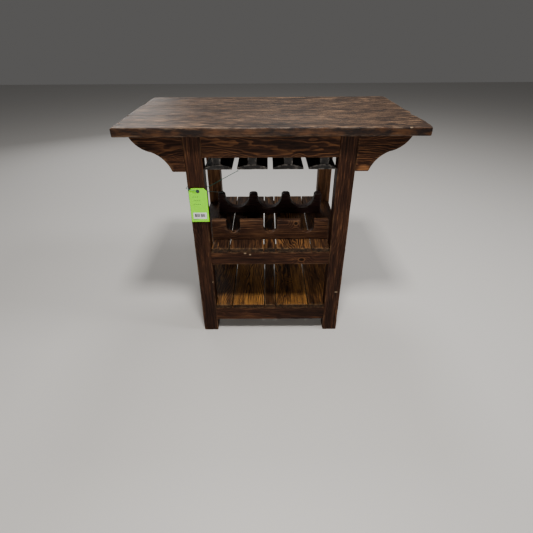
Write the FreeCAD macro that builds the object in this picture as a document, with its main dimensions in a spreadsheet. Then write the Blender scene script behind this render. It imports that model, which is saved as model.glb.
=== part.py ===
"""Rustic bar cart: plank top on four square legs, glass rails, bottle rack, two shelves.

Frame: +X along the length, +Y to the back, +Z up.  The model is drawn about the
middle of its legs; the written parts have their origin on the floor under the
middle of the top, which sits a little to the right.  Millimetres throughout.
"""
import FreeCAD, Part
import math
import os
import Sketcher
from FreeCAD import Placement, Rotation, Vector

doc = FreeCAD.newDocument("bar_cart")

# ---------------------------------------------------------------- driving dimensions
SIZES = {
    # top
    "total_height": 914,
    "top_length": 1078,
    "top_offset": 4,
    "top_depth": 603,
    "top_thick": 31,
    "top_edge_round": 4,
    # frame
    "frame_width": 610,
    "frame_depth": 547,
    "leg_side": 64,
    "leg_round": 4,
    "rail_setback": 4,
    "rail_thick": 22,
    "apron_height": 80,
    "mid_rail_bottom": 357,
    "mid_rail_height": 58,
    "low_rail_bottom": 60,
    "low_rail_height": 66,
    "tenon_length": 22,
    "tenon_thick": 10,
    "tenon_shoulder": 8,
    "glue_gap": 0.2,
    # corbels
    "corbel_length": 186,
    "corbel_height": 131,
    "corbel_thick": 25,
    "corbel_setback": 6,
    "corbel_tip": 4,
    "corbel_waist_x": 115,
    "corbel_waist_z": 60,
    "corbel_foot": 51,
    "corbel_belly": 102,
    "corbel_cove": 110,
    "corbel_toe": 8,
    # shelves
    "plank_thick": 19,
    "plank_gap": 3.5,
    "plank_overhang": 9.5,
    "leg_gap": 1,
    "outer_plank": 131.25,
    "left_plank": 138,
    "narrow_plank": 46.5,
    "right_plank": 141,
    # stemware rails
    "rail_pitch": 130.6,
    "stem_width": 33,
    "flange_width": 113,
    "flange_bottom": 753,
    "flange_edge": 9,
    "flange_thick": 20,
    "stub_length": 6,
    "stub_width": 17,
    "stub_height": 50,
    # bottle rack
    "bottle_pitch": 152.5,
    "rack_length": 482,
    "neck_setback": 80,
    "neck_thick": 22,
    "neck_height": 89,
    "neck_notch": 27.5,
    "neck_notch_depth": 57,
    "body_setback": 338,
    "body_thick": 38,
    "body_height": 99,
    "body_scallop": 56,
    "body_tooth_round": 13,
    # fasteners
    "dowel_size": 10,
    "dowel_length": 44,
    "nail_size": 3.2,
    "nail_length": 45,
    "nail_head": 7,
    "nail_head_thick": 1.2,
    "screw_size": 4.5,
    "screw_length": 48,
    "screw_head": 9,
    "screw_head_thick": 4,
    # hang tag and its string
    "tag_width": 67,
    "tag_height": 135.5,
    "tag_clip": 11,
    "tag_thick": 0.5,
    "tag_hole": 3,
    "tag_hole_drop": 12.2,
    "tag_hole_height": 683.3,
    "tag_inset": 37,
    "tag_standoff": 5,
    "eyelet_size": 7,
    "trim_thick": 0.2,
    "sticker_width": 51,
    "sticker_height": 26,
    "sticker_lift": 12,
    "string_size": 2.2,
    "knot_size": 5,
    "knot_length": 6,
}

sheet = doc.addObject("Spreadsheet::Sheet", "dims")
for row, (alias, value) in enumerate(SIZES.items(), start=1):
    sheet.set("A%d" % row, alias)
    sheet.set("B%d" % row, str(value))
    sheet.setAlias("B%d" % row, alias)
doc.recompute()

nodes = []


def value_of(expression):
    """Return the number that an expression over the sheet gives."""
    for alias in sorted(SIZES, key=len, reverse=True):
        expression = expression.replace("dims." + alias, "(%r)" % float(getattr(sheet, alias)))
    return FreeCAD.Units.Quantity(expression).Value


def keep(item, label):
    """Name a finished sub-part; its label is its node and its file name."""
    item.Label = label
    nodes.append(item)
    return item


# ---------------------------------------------------------------- solids made of primitives
def bind_place(item, x, y, z):
    """Bind an object's corner or centre to three expressions."""
    item.setExpression("Placement.Base.x", x)
    item.setExpression("Placement.Base.y", y)
    item.setExpression("Placement.Base.z", z)


def block(name, corner, size):
    """Return a box whose low corner and sizes are expressions."""
    item = doc.addObject("Part::Box", name)
    for side, expression in zip(("Length", "Width", "Height"), size):
        item.setExpression(side, expression)
    bind_place(item, *corner)
    return item


def rod(name, start, radius, length, direction):
    """Return a round bar from a start point along a direction."""
    item = doc.addObject("Part::Cylinder", name)
    item.setExpression("Radius", radius)
    item.setExpression("Height", length)
    item.Placement = Placement(Vector(0, 0, 0), Rotation(Vector(0, 0, 1), direction))
    bind_place(item, *start)
    return item


def join(name, pieces):
    """Return one solid out of pieces that touch or overlap."""
    item = doc.addObject("Part::MultiFuse", name)
    item.Shapes = pieces
    item.Refine = True
    return item


def group(name, pieces):
    """Return separate solids as one group."""
    item = doc.addObject("Part::Compound", name)
    item.Links = pieces
    return item


def cut(name, base, tools):
    """Return the base less every tool."""
    item = doc.addObject("Part::Cut", name)
    item.Base = base
    item.Tool = tools[0] if len(tools) == 1 else group(name + "_tools", tools)
    return item


# ---------------------------------------------------------------- solids made of sketches
def origin_plane(body, role):
    """Return one of a body's own origin planes."""
    return next(item for item in body.Origin.OriginFeatures if item.Role == role)


def arc_between(start, end, radius, clockwise):
    """Return the short arc from start to end, and the sketch ends that meet them."""
    middle = (start + end) / 2
    chord = end - start
    rise = math.sqrt(radius ** 2 - (chord.Length / 2) ** 2)
    normal = Vector(-chord.y, chord.x, 0).normalize()
    centre = middle + normal * (-rise if clockwise else rise)
    first = math.atan2(start.y - centre.y, start.x - centre.x)
    last = math.atan2(end.y - centre.y, end.x - centre.x)
    if clockwise:
        first, last = last, first
    circle = Part.Circle(centre, Vector(0, 0, 1), radius)
    return Part.ArcOfCircle(circle, first, last), ((2, 1) if clockwise else (1, 2))


def outline(body, role, corners, holes=()):
    """Return a closed sketch, every corner and radius bound to the sheet.

    corners: (x, y) or (x, y, radius, clockwise) where an arc leaves the corner.
    holes: (x, y, radius) circles.
    """
    sketch = body.newObject("Sketcher::SketchObject", body.Name + "_sketch")
    sketch.AttachmentSupport = [(origin_plane(body, role), "")]
    sketch.MapMode = "FlatFace"
    points = [Vector(value_of(corner[0]), value_of(corner[1]), 0) for corner in corners]
    ends = []
    for index, corner in enumerate(corners):
        start, end = points[index], points[(index + 1) % len(points)]
        if len(corner) == 2:
            sketch.addGeometry(Part.LineSegment(start, end))
            ends.append((1, 2))
        else:
            arc, pair = arc_between(start, end, value_of(corner[2]), corner[3])
            sketch.addGeometry(arc)
            ends.append(pair)
    for index, corner in enumerate(corners):
        before = index - 1 if index else len(corners) - 1
        here = (index, ends[index][0])
        sketch.addConstraint(Sketcher.Constraint("Coincident", before, ends[before][1], *here))
        pin(sketch, here, points[index], corner)
        if len(corner) == 4:
            number = sketch.addConstraint(Sketcher.Constraint("Radius", index, value_of(corner[2])))
            bind(sketch, number, "radius%d" % index, corner[2])
    for x, y, radius in holes:
        middle = Vector(value_of(x), value_of(y), 0)
        index = sketch.addGeometry(Part.Circle(middle, Vector(0, 0, 1), value_of(radius)))
        pin(sketch, (index, 3), middle, (x, y))
        number = sketch.addConstraint(Sketcher.Constraint("Radius", index, value_of(radius)))
        bind(sketch, number, "hole%d" % index, radius)
    return sketch


def bind(sketch, number, name, expression):
    """Name a constraint and bind it to the sheet."""
    sketch.renameConstraint(number, name)
    sketch.setExpression("Constraints." + name, expression)


def pin(sketch, where, point, expressions):
    """Hold one sketch point at its two distances from the origin."""
    for letter, axis, distance, expression in (("x", -2, point.x, expressions[0]),
                                               ("y", -1, point.y, expressions[1])):
        if abs(distance) < 1e-9:
            sketch.addConstraint(Sketcher.Constraint("PointOnObject", where[0], where[1], axis))
            continue
        kind = "DistanceX" if letter == "x" else "DistanceY"
        number = sketch.addConstraint(Sketcher.Constraint(kind, -1, 1, where[0], where[1], distance))
        bind(sketch, number, "%s%d_%d" % (letter, where[0], where[1]), expression)


def padded_body(name, role, corners, depth, holes=()):
    """Return a body: one outline padded by a depth, evenly to both sides."""
    body = doc.addObject("PartDesign::Body", name)
    sketch = outline(body, role, corners, holes)
    doc.recompute()
    pad = body.newObject("PartDesign::Pad", name + "_pad")
    pad.Profile = sketch
    pad.setExpression("Length", depth)
    pad.SideType = "Symmetric"
    doc.recompute()
    return body


def round_edges(body, radius, wanted):
    """Round the edges of a body's tip for which wanted(edge) is true."""
    tip = body.Tip
    names = ["Edge%d" % (index + 1) for index, edge in enumerate(tip.Shape.Edges) if wanted(edge)]
    fillet = body.newObject("PartDesign::Fillet", body.Name + "_round")
    fillet.Base = (tip, names)
    fillet.setExpression("Radius", radius)
    doc.recompute()
    return body


# ---------------------------------------------------------------- places worked out once
HALF_ROUND = 1.0001  # an arc over half a circle is a hair larger, so that its centre is defined
TOP_UNDER = "dims.total_height - dims.top_thick"
HALF_WIDTH = "dims.frame_width / 2"
HALF_DEPTH = "dims.frame_depth / 2"
INNER_X = "(dims.frame_width / 2 - dims.leg_side)"
INNER_Y = "(dims.frame_depth / 2 - dims.leg_side)"
APRON_BOTTOM = "(dims.total_height - dims.top_thick - dims.apron_height)"
RAIL_LINE = "(dims.rail_setback + dims.rail_thick / 2)"
LEVELS = {
    "apron": (APRON_BOTTOM, "dims.apron_height"),
    "mid_rail": ("dims.mid_rail_bottom", "dims.mid_rail_height"),
    "low_rail": ("dims.low_rail_bottom", "dims.low_rail_height"),
}
ENDS = {"front": -1, "rear": 1}
SIDES = {"left": -1, "right": 1}


def signed(sign, expression):
    """Return the expression, on the negative side where the sign says so."""
    return "%d * (%s)" % (sign, expression)


def low_corner(centre, size):
    """Return the low side of a span from its centre and its size."""
    return "%s - (%s) / 2" % (centre, size)


# ---------------------------------------------------------------- fastener groups
def fastener(name, place, up, shank, length, head, head_thick):
    """Return one headed fastener: its head's outer face is at place, its shank runs up or down."""
    turn = Vector(0, 0, 1) if up else Vector(0, 0, -1)
    pieces = [
        rod(name + "_shank", place, shank + " / 2", length, turn),
        rod(name + "_head", place, head + " / 2", head_thick, turn),
    ]
    return join(name, pieces)


def nail_spans():
    """Return the stretches of each shelf plank that lie on the front and rear rails."""
    gap = "dims.plank_gap"
    left = "(dims.rail_setback - dims.frame_width / 2)"
    first = "(%s + dims.outer_plank)" % left
    second = "(%s + %s + dims.left_plank)" % (first, gap)
    third = "(%s + %s + dims.narrow_plank)" % (second, gap)
    fourth = "(%s + %s + dims.right_plank)" % (third, gap)
    right = "(dims.frame_width / 2 - dims.rail_setback)"
    starts = [left] + ["(%s + %s)" % (edge, gap) for edge in (first, second, third, fourth)]
    stops = [first, second, third, fourth, right]
    return list(zip(starts, stops))


PLANK_SPANS = nail_spans()
SHELVES = {
    "mid": "(dims.mid_rail_bottom + dims.mid_rail_height)",
    "low": "(dims.low_rail_bottom + dims.low_rail_height)",
}


def shelf_nails(shelf, under):
    """Return a shelf's nails: two in each end of a plank, one in the narrow plank."""
    nails = []
    for number, (start, stop) in enumerate(PLANK_SPANS, start=1):
        if number == 1:
            start = "(0 - %s)" % INNER_X
        if number == 5:
            stop = INNER_X
        for part in ((0.5,) if number == 3 else (0.25, 0.75)):
            x = "%s * (%s) + %s * (%s)" % (1 - part, start, part, stop)
            for end, sign in ENDS.items():
                place = (x, signed(sign, HALF_DEPTH + " - " + RAIL_LINE), under + " + dims.plank_thick")
                name = "%s_nail_%d_%d_%s" % (shelf, number, int(part * 100), end)
                nails.append(fastener(name, place, False, "dims.nail_size", "dims.nail_length",
                                      "dims.nail_head", "dims.nail_head_thick"))
    return group(shelf + "_shelf_nails", nails)


nail_groups = {shelf: keep(shelf_nails(shelf, under), shelf + "_shelf_nails")
               for shelf, under in SHELVES.items()}

NECK_LINE = "(dims.neck_setback + dims.neck_thick / 2 - dims.frame_depth / 2)"
BODY_LINE = "(dims.body_setback + dims.body_thick / 2 - dims.frame_depth / 2)"
rack_screw_list = []
for board, line in (("neck", NECK_LINE), ("body", BODY_LINE)):
    for step in (-1.5, -0.5, 0.5, 1.5):
        rack_screw_list.append(fastener(
            "rack_screw_%s_%d" % (board, step * 10), ("%s * dims.bottle_pitch" % step, line, SHELVES["mid"]),
            True, "dims.screw_size", "dims.screw_length", "dims.screw_head", "dims.screw_head_thick"))
rack_screws = keep(group("rack_screw_group", rack_screw_list), "rack_board_screws")

glass_screw_list = []
for rail in range(4):
    for step in (-1, 0, 1):
        place = ("%s * dims.rail_pitch" % (rail - 1.5), "%d * dims.frame_depth / 3" % step,
                 "dims.flange_bottom")
        glass_screw_list.append(fastener(
            "glass_screw_%d_%d" % (rail + 1, step), place, True, "dims.screw_size",
            "dims.screw_length", "dims.screw_head", "dims.screw_head_thick"))
glass_screws = keep(group("glass_screw_group", glass_screw_list), "glass_rail_screws")

seam_dowel_list = []
for seam in (-0.5, 0.5):
    for step in range(-2, 3):
        start = ("%d * dims.top_length / 5" % step,
                 "%s * dims.top_depth / 3 - dims.dowel_length / 2" % seam,
                 TOP_UNDER + " + dims.top_thick / 2")
        seam_dowel_list.append(rod("seam_dowel_%d_%d" % (seam * 10, step), start,
                                   "dims.dowel_size / 2", "dims.dowel_length", Vector(0, 1, 0)))
seam_dowels = keep(group("seam_dowel_group", seam_dowel_list), "top_seam_dowels")

APRON_DOWEL = "dims.dowel_length - dims.top_thick / 2"
apron_dowel_list = []
for end, sign in ENDS.items():
    for step in (-1, 0, 1):
        start = ("%d * dims.rail_pitch" % step, signed(sign, HALF_DEPTH + " - " + RAIL_LINE),
                 TOP_UNDER + " - (%s)" % APRON_DOWEL)
        apron_dowel_list.append(rod("apron_dowel_%s_%d" % (end, step), start,
                                    "dims.dowel_size / 2", "dims.dowel_length", Vector(0, 0, 1)))
for side, sign in SIDES.items():
    for step in (-1, 1):
        start = (signed(sign, HALF_WIDTH + " - " + RAIL_LINE), "%d * dims.frame_depth / 4" % step,
                 TOP_UNDER + " - (%s)" % APRON_DOWEL)
        apron_dowel_list.append(rod("apron_dowel_%s_%d" % (side, step), start,
                                    "dims.dowel_size / 2", "dims.dowel_length", Vector(0, 0, 1)))
apron_dowels = keep(group("apron_dowel_group", apron_dowel_list), "apron_top_dowels")

CORBEL_LINE = "(dims.frame_depth / 2 - dims.corbel_setback - dims.corbel_thick / 2)"
corbel_dowel_list = []
for end, front in ENDS.items():
    for side, sign in SIDES.items():
        for number, drop in enumerate(("dims.corbel_height / 4", "dims.corbel_height * 3 / 4")):
            start = ("%d * dims.frame_width / 2 - dims.dowel_length / 2" % sign,
                     signed(front, CORBEL_LINE), TOP_UNDER + " - " + drop)
            corbel_dowel_list.append(rod("corbel_dowel_%s_%s_%d" % (end, side, number), start,
                                         "dims.dowel_size / 2", "dims.dowel_length", Vector(1, 0, 0)))
corbel_dowels = keep(group("corbel_dowel_group", corbel_dowel_list), "corbel_dowels")


# ---------------------------------------------------------------- top planks
def top_plank(label, seam, right_end):
    """Return one top plank from its seam row and the outline of its worn right end."""
    low = "(%s - 0.5) * dims.top_depth / 3" % seam
    high = "(%s + 0.5) * dims.top_depth / 3" % seam
    left = "(dims.top_offset - dims.top_length / 2)"
    right = "dims.top_offset + dims.top_length / 2 - "
    corners = [(left, low)]
    corners += [(right + str(inset), "(%s + %s) * dims.top_depth / 3" % (seam - 0.5, part))
                for inset, part in right_end]
    corners.append((left, high))
    body = padded_body(label + "_body", "XY_Plane", corners, "dims.top_thick")
    body.setExpression("Placement.Base.z", TOP_UNDER + " + dims.top_thick / 2")
    outer = value_of("dims.top_depth / 2")

    def is_outer(edge):
        middle = edge.BoundBox.Center
        level = abs(middle.z) > 1
        at_seam = edge.BoundBox.XLength > value_of("dims.top_length") / 2 and abs(abs(middle.y) - outer) > 1
        return level and not at_seam

    round_edges(body, "dims.top_edge_round", is_outer)
    return keep(cut(label + "_cut", body, [seam_dowels, apron_dowels]), label)


top_plank("top_plank_front", -1, ((3.4, 0), (0.2, 0.4), (5, 0.85), (13, 1)))
top_plank("top_plank_middle", 0, ((13, 0), (0, 0.28), (9.5, 0.48), (8, 1)))
top_plank("top_plank_rear", 1, ((8, 0), (11, 0.86), (16.5, 1)))


# ---------------------------------------------------------------- legs
def mortises(prefix, grow):
    """Return every tenon-shaped block: long rails along X and side rails along Y."""
    made = {}
    length = "(dims.tenon_length + %s)" % grow
    thick = "(dims.tenon_thick + 2 * %s)" % grow
    for level, (bottom, height) in LEVELS.items():
        tall = "(%s - 2 * dims.tenon_shoulder + 2 * %s)" % (height, grow)
        base = "%s + dims.tenon_shoulder - %s" % (bottom, grow)
        for end, front in ENDS.items():
            for side, sign in SIDES.items():
                long_x = "%d * (%s + %s / 2)" % (sign, INNER_X, length)
                long_y = signed(front, HALF_DEPTH + " - " + RAIL_LINE)
                side_x = signed(sign, HALF_WIDTH + " - " + RAIL_LINE)
                side_y = "%d * (%s + %s / 2)" % (front, INNER_Y, length)
                made[level, end, side, "long"] = block(
                    "%s_%s_%s_%s_long" % (prefix, level, end, side),
                    (low_corner(long_x, length), low_corner(long_y, thick), base), (length, thick, tall))
                made[level, end, side, "side"] = block(
                    "%s_%s_%s_%s_side" % (prefix, level, end, side),
                    (low_corner(side_x, thick), low_corner(side_y, length), base), (thick, length, tall))
    return made


holes = mortises("mortise", "dims.glue_gap")
tenons = mortises("tenon", "0")

for end, front in ENDS.items():
    for side, sign in SIDES.items():
        name = "leg_%s_%s" % (end, side)
        centre_x = signed(sign, HALF_WIDTH + " - dims.leg_side / 2")
        centre_y = signed(front, HALF_DEPTH + " - dims.leg_side / 2")
        post = block(name + "_post",
                     (low_corner(centre_x, "dims.leg_side"), low_corner(centre_y, "dims.leg_side"), "0"),
                     ("dims.leg_side", "dims.leg_side", TOP_UNDER))
        doc.recompute()
        upright = [index for index, edge in enumerate(post.Shape.Edges, start=1)
                   if edge.BoundBox.ZLength > 100]
        rounded = doc.addObject("Part::Fillet", name + "_rounded")
        rounded.Base = post
        rounded.Edges = [(index, SIZES["leg_round"], SIZES["leg_round"]) for index in upright]
        tools = [holes[level, end, side, kind] for level in LEVELS for kind in ("long", "side")]
        keep(cut(name + "_cut", rounded, tools + [corbel_dowels]), name)

# ---------------------------------------------------------------- stemware rails
STEM_BOTTOM = "(dims.flange_bottom + dims.flange_thick)"
STEM_LENGTH = "(dims.frame_depth - 2 * dims.rail_setback - 2 * dims.rail_thick)"
stubs = {end: [] for end in ENDS}
for number in range(1, 5):
    centre = "(%s * dims.rail_pitch)" % (number - 2.5)
    stem = block("stem_%d_board" % number,
                 (low_corner(centre, "dims.stem_width"), "0 - %s / 2" % STEM_LENGTH, STEM_BOTTOM),
                 ("dims.stem_width", STEM_LENGTH, "%s - %s" % (TOP_UNDER, STEM_BOTTOM)))
    ends = []
    for end, front in ENDS.items():
        middle = "%d * (%s / 2 + dims.stub_length / 2)" % (front, STEM_LENGTH)
        stub = block("stem_%d_stub_%s" % (number, end),
                     (low_corner(centre, "dims.stub_width"), low_corner(middle, "dims.stub_length"),
                      low_corner(APRON_BOTTOM + " + dims.apron_height / 2", "dims.stub_height")),
                     ("dims.stub_width", "dims.stub_length", "dims.stub_height"))
        ends.append(stub)
        stubs[end].append(stub)
    whole = join("stem_%d_whole" % number, [stem] + ends)
    keep(cut("stem_%d_cut" % number, whole, [glass_screws]), "glass_rail_stem_%d" % number)

    half = "dims.flange_width / 2"
    reach = "(%s - dims.leg_gap / 2 - 1.5 * dims.rail_pitch)" % INNER_X
    left = reach if number == 1 else half
    right = reach if number == 4 else half
    core = "dims.stem_width / 2"
    flange = padded_body("flange_%d_body" % number, "XZ_Plane", [
        (signed(-1, left), "0"),
        (right, "0"),
        (right, "dims.flange_edge"),
        (core, "dims.flange_thick"),
        (signed(-1, core), "dims.flange_thick"),
        (signed(-1, left), "dims.flange_edge"),
    ], STEM_LENGTH)
    bind_place(flange, centre, "0", "dims.flange_bottom")
    keep(cut("flange_%d_cut" % number, flange, [glass_screws]), "glass_rail_flange_%d" % number)

# ---------------------------------------------------------------- aprons and rails
for level, (bottom, height) in LEVELS.items():
    for end, front in ENDS.items():
        line = signed(front, HALF_DEPTH + " - " + RAIL_LINE)
        board = block("%s_%s_board" % (level, end),
                      ("0 - " + INNER_X, low_corner(line, "dims.rail_thick"), bottom),
                      ("2 * " + INNER_X, "dims.rail_thick", height))
        whole = join("%s_%s_whole" % (level, end),
                     [board] + [tenons[level, end, side, "long"] for side in SIDES])
        tools = {"apron": [apron_dowels] + stubs[end], "mid_rail": [nail_groups["mid"]],
                 "low_rail": [nail_groups["low"]]}[level]
        keep(cut("%s_%s_cut" % (level, end), whole, tools), "%s_%s" % (level, end))
    for side, sign in SIDES.items():
        line = signed(sign, HALF_WIDTH + " - " + RAIL_LINE)
        board = block("%s_%s_board" % (level, side),
                      (low_corner(line, "dims.rail_thick"), "0 - " + INNER_Y, bottom),
                      ("dims.rail_thick", "2 * " + INNER_Y, height))
        whole = join("%s_%s_whole" % (level, side),
                     [board] + [tenons[level, end, side, "side"] for end in ENDS])
        if level == "apron":
            whole = cut("%s_%s_cut" % (level, side), whole, [apron_dowels])
        keep(whole, "%s_%s" % (level, side))

# ---------------------------------------------------------------- corbels
for end, front in ENDS.items():
    for side, sign in SIDES.items():
        name = "corbel_%s_%s" % (end, side)
        across = "%d * " % sign
        down = "0 - "
        bow = sign > 0
        corbel = padded_body(name + "_body", "XZ_Plane", [
            ("0", "0"),
            (across + "dims.corbel_length", "0"),
            (across + "dims.corbel_length", down + "dims.corbel_tip", "dims.corbel_belly", bow),
            (across + "dims.corbel_waist_x", down + "dims.corbel_waist_z", "dims.corbel_cove", not bow),
            (across + "dims.corbel_foot", down + "dims.corbel_height + dims.corbel_toe * 3 / 4",
             "dims.corbel_toe", bow),
            (across + "(dims.corbel_foot - dims.corbel_toe * 5 / 4)", down + "dims.corbel_height"),
            ("0", down + "dims.corbel_height"),
        ], "dims.corbel_thick")
        bind_place(corbel, "%d * dims.frame_width / 2" % sign, signed(front, CORBEL_LINE), TOP_UNDER)
        keep(cut(name + "_cut", corbel, [corbel_dowels]), name)

# ---------------------------------------------------------------- shelf planks
PLANK_FRONT = "(dims.rail_setback - dims.frame_depth / 2)"
PLANK_DEPTH = "(dims.frame_depth - 2 * dims.rail_setback + dims.plank_overhang)"
for shelf, under in SHELVES.items():
    notches = []
    for end, front in ENDS.items():
        for side, sign in SIDES.items():
            room = "(dims.leg_side + dims.leg_gap)"
            deep = "(%s + dims.plank_overhang)" % room
            centre_x = signed(sign, HALF_WIDTH + " - %s / 2" % room)
            centre_y = signed(front, HALF_DEPTH + " - %s + %s / 2" % (room, deep))
            notches.append(block("%s_notch_%s_%s" % (shelf, end, side),
                                 (low_corner(centre_x, room), low_corner(centre_y, deep), under),
                                 (room, deep, "dims.plank_thick")))
    for number, (start, stop) in enumerate(PLANK_SPANS, start=1):
        name = "%s_shelf_plank_%d" % (shelf, number)
        board = block(name + "_board", (start, PLANK_FRONT, under),
                      ("%s - %s" % (stop, start), PLANK_DEPTH, "dims.plank_thick"))
        tools = [nail_groups[shelf]]
        if number in (1, 5):
            tools += notches
        if shelf == "mid":
            tools.append(rack_screws)
        keep(cut(name + "_cut", board, tools), name)

# ---------------------------------------------------------------- bottle rack boards
SHELF_FACE = "(%s + dims.plank_thick)" % SHELVES["mid"]
BOTTLES = (-1, 0, 1)

neck_corners = [("dims.rack_length / 2", "0"), ("dims.rack_length / 2", "dims.neck_height")]
for place in reversed(BOTTLES):
    middle = "%d * dims.bottle_pitch" % place
    seat = "dims.neck_height - dims.neck_notch_depth + dims.neck_notch"
    neck_corners += [
        (middle + " + dims.neck_notch", "dims.neck_height"),
        (middle + " + dims.neck_notch", seat, "dims.neck_notch * %s" % HALF_ROUND, True),
        (middle + " - dims.neck_notch", seat),
        (middle + " - dims.neck_notch", "dims.neck_height"),
    ]
neck_corners += [("0 - dims.rack_length / 2", "dims.neck_height"), ("0 - dims.rack_length / 2", "0")]
neck_board = padded_body("neck_board_body", "XZ_Plane", neck_corners, "dims.neck_thick")
bind_place(neck_board, "0", NECK_LINE, SHELF_FACE)
keep(cut("neck_board_cut", neck_board, [rack_screws]), "bottle_neck_board")

body_corners = [("dims.rack_length / 2", "0"), ("dims.rack_length / 2", "dims.body_height")]
for place in reversed(BOTTLES):
    middle = "%d * dims.bottle_pitch" % place
    spread = "dims.body_scallop + dims.body_tooth_round"
    seat = "dims.body_height - dims.body_tooth_round"
    body_corners += [
        (middle + " + " + spread, "dims.body_height", "dims.body_tooth_round", False),
        (middle + " + dims.body_scallop", seat, "dims.body_scallop * %s" % HALF_ROUND, True),
        (middle + " - dims.body_scallop", seat, "dims.body_tooth_round", False),
        (middle + " - (%s)" % spread, "dims.body_height"),
    ]
body_corners += [("0 - dims.rack_length / 2", "dims.body_height"), ("0 - dims.rack_length / 2", "0")]
body_board = padded_body("body_board_body", "XZ_Plane", body_corners, "dims.body_thick")
bind_place(body_board, "0", BODY_LINE, SHELF_FACE)
keep(cut("body_board_cut", body_board, [rack_screws]), "bottle_body_board")

# ---------------------------------------------------------------- hang tag
TAG_X = "(dims.tag_inset - dims.frame_width / 2)"
TAG_Y = "(0 - dims.frame_depth / 2 - dims.tag_standoff - dims.tag_thick / 2)"
TAG_FRONT = "(%s - dims.tag_thick / 2)" % TAG_Y
TAG_TOP = "(dims.tag_hole_height + dims.tag_hole_drop)"
half = "dims.tag_width / 2"
card = padded_body("tag_card_body", "XZ_Plane", [
    (signed(-1, half), "dims.tag_hole_drop - dims.tag_height"),
    (half, "dims.tag_hole_drop - dims.tag_height"),
    (half, "dims.tag_hole_drop - dims.tag_clip"),
    (half + " - dims.tag_clip", "dims.tag_hole_drop"),
    ("dims.tag_clip - " + half, "dims.tag_hole_drop"),
    (signed(-1, half), "dims.tag_hole_drop - dims.tag_clip"),
], "dims.tag_thick", holes=[("0", "0", "dims.tag_hole")])
bind_place(card, TAG_X, TAG_Y, "dims.tag_hole_height")
keep(card, "tag_card")

ring_place = (TAG_X, TAG_FRONT, "dims.tag_hole_height")
patch = rod("eyelet_patch", ring_place, "dims.eyelet_size", "dims.trim_thick", Vector(0, -1, 0))
patch_hole = rod("eyelet_hole", ring_place, "dims.tag_hole", "dims.trim_thick", Vector(0, -1, 0))
keep(cut("eyelet_cut", patch, [patch_hole]), "tag_eyelet")

sticker = block("sticker_block",
                (low_corner(TAG_X, "dims.sticker_width"), TAG_FRONT + " - dims.trim_thick",
                 TAG_TOP + " - dims.tag_height + dims.sticker_lift"),
                ("dims.sticker_width", "dims.trim_thick", "dims.sticker_height"))
keep(sticker, "tag_sticker")

# ---------------------------------------------------------------- elastic string of the tag
# From under the second stemware rail, round the front left leg, through the tag's hole
# from the front, round the leg's inner corner and over to the bottle board's left tooth.
ROUTE = [
    (-121.5, -244.5, 747.5),
    (-239.6, -207.9, 673.5),
    (-308.0, -206.3, 685.5),
    (-309.0, -282.1, 696.0),
    (-271.4, -281.6, 684.3),
    (-264.6, -275.9, 682.4),
    (-239.2, -275.9, 683.5),
    (-219.6, 79.0, 535.6),
    (-219.0, 91.0, 535.6),
]
BEND_RADII = [5.5, 6.0, 5.0, 4.8, 4.8, 5.0, 26.0]


def rounded_path(points, radii):
    """Return a wire of straight runs joined by tangent arcs."""
    points = [Vector(*point) for point in points]
    edges = []
    start = points[0]
    for before, corner, after, radius in zip(points, points[1:], points[2:], radii):
        incoming = (corner - before).normalize()
        outgoing = (after - corner).normalize()
        half_turn = incoming.getAngle(outgoing) / 2
        reach = radius * math.tan(half_turn)
        first = corner - incoming * reach
        last = corner + outgoing * reach
        inward = (outgoing - incoming).normalize()
        top = corner + inward * (radius / math.cos(half_turn) - radius)
        edges.append(Part.LineSegment(start, first).toShape())
        edges.append(Part.Arc(first, top, last).toShape())
        start = last
        print("string bend: turn %.1f degrees, radius %.1f mm" % (math.degrees(2 * half_turn), radius))
    edges.append(Part.LineSegment(start, points[-1]).toShape())
    return Part.Wire(edges)


def solid_feature(label, shape):
    """Keep a shape that no primitive or body makes."""
    item = doc.addObject("Part::Feature", label + "_solid")
    item.Shape = shape
    return keep(item, label)


path = rounded_path(ROUTE, BEND_RADII)
string_radius = value_of("dims.string_size") / 2
run = Vector(*ROUTE[1]) - Vector(*ROUTE[0])
section = Part.Wire(Part.makeCircle(string_radius, Vector(*ROUTE[0]), run))
tube = path.makePipeShell([section], True, False)
expected = math.pi * string_radius ** 2 * path.Length
print("string: length %.1f mm, volume %.1f, section times length %.1f"
      % (path.Length, tube.Volume, expected))
solid_feature("tag_string", tube)


def knot(label, place, direction):
    """Return a knot as a short bar whose near face meets the end of the string."""
    bar = rod(label + "_bar", [str(number) for number in place], "dims.knot_size / 2",
              "dims.knot_length", direction)
    return keep(bar, label)


knot("string_knot_upper", ROUTE[0], Vector(*ROUTE[0]) - Vector(*ROUTE[1]))
knot("string_knot_lower", ROUTE[-1], Vector(*ROUTE[-1]) - Vector(*ROUTE[-2]))

# ---------------------------------------------------------------- checks and files
doc.recompute()
for item in doc.Objects:
    if "Invalid" in item.State or "Error" in item.State:
        raise RuntimeError("%s did not build: %s" % (item.Name, item.State))
for item in nodes:
    if item.Shape.isNull() or not item.Shape.isValid() or not item.Shape.Solids:
        raise RuntimeError("%s has no valid shape" % item.Label)

os.makedirs("parts", exist_ok=True)
under_top = Vector(-value_of("dims.top_offset"), 0, 0)
for item in nodes:
    item.Shape.translated(under_top).exportStep("parts/%s.step" % item.Label)
print("%d sub-parts written" % len(nodes))
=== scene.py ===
"""Looks for a rustic wooden bar cart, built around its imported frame.

Lengths are in metres, in the frame's own axes: +X along the top, +Y to the back, +Z up.
"""
import logging
import math
import random
from dataclasses import dataclass, field
from enum import Enum
from typing import Optional, Sequence, Union

import bmesh
import bpy
from mathutils import Matrix, Vector, noise


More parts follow.
